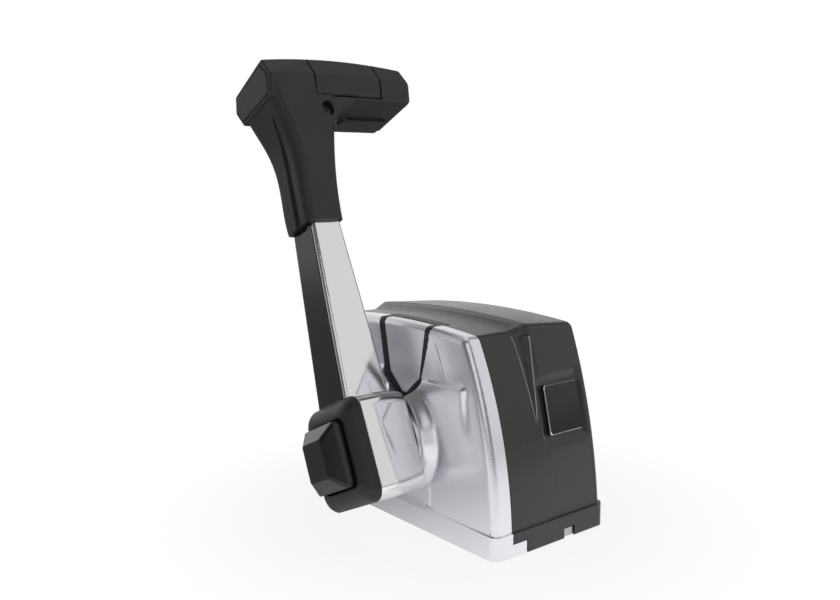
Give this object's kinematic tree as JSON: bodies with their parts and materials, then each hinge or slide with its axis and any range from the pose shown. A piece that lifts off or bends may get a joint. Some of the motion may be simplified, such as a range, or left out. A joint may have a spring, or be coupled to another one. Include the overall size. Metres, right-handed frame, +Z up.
{
  "type": "boat throttle control lever",
  "caption": "Top-mount boat throttle and shift control with a leaning chrome lever, T-handle grip, throttle-only button and a two-tone cover housing.",
  "frame": {"origin": "centre of the base bolt pattern on the deck face, under the lever shaft", "axes": "+Z up from the deck, +Y towards the bow, -X is the lever side, +X the far side"},
  "size_m": [0.1622, 0.2199, 0.3051],
  "materials": {
    "black_cover": "satin moulded black",
    "silver_cover": "satin silver paint on a moulding",
    "black_trim": "fine-grained satin black",
    "badge_black": "bare gloss black plate",
    "cast_frame": "as cast and machined",
    "gasket_rubber": "plain rubber",
    "bush_bronze": "sintered bronze",
    "bright_steel": "bright steel",
    "black_steel": "blackened steel",
    "polished_chrome": "polished chrome plate",
    "button_black": "gloss black",
    "grip_black": "soft-touch black",
    "grip_panel": "satin black plates"
  },
  "bodies": {
    "housing": {"main_cover": "black_cover", "side_cover": "silver_cover", "access_bezel": "black_trim", "access_panel": "silver_cover", "badge_plate": "badge_black", "hub_escutcheon": "silver_cover", "base_frame": "cast_frame", "base_gasket": "gasket_rubber", "near_bush": "bush_bronze", "far_bush": "bush_bronze", "friction_shoe": "gasket_rubber", "friction_screw": "bright_steel", "detent_spring": "bright_steel", "detent_roller": "bright_steel"},
    "lever": {"main_shaft": "bright_steel", "shaft_circlip": "bright_steel", "friction_drum": "bright_steel", "drive_arm": "cast_frame", "cable_pin": "bright_steel", "detent_wheel": "cast_frame", "lever_arm": "polished_chrome", "arm_insert": "black_trim", "hub_screw": "bright_steel", "hub_cap": "black_trim", "button_spring": "bright_steel", "grip_body": "grip_black", "grip_end_panel": "grip_panel", "grip_face_panel": "grip_panel", "grip_screw": "black_steel"},
    "button": {"throttle_button": "button_black"},
    "lock": {"lock_trigger": "grip_panel", "lock_rod": "bright_steel"}
  },
  "joints": [
    {"name": "lever_swing", "type": "hinge", "parent": "housing", "child": "lever", "pos_m": [0, 0, 0.052], "axis": [-1, 0, 0], "range_deg": [-90, 60]},
    {"name": "button_press", "type": "slide", "parent": "lever", "child": "button", "axis": [1, 0, 0], "range_m": [0, 0.0035], "stiffness_N_per_m": 600, "springref_m": -0.002, "deforming": ["button_spring"]},
    {"name": "lock_lift", "type": "slide", "parent": "lever", "child": "lock", "axis": [0, 0.4226, 0.9063], "range_m": [0, 0.003], "stiffness_N_per_m": 600, "springref_m": -0.003}
  ]
}
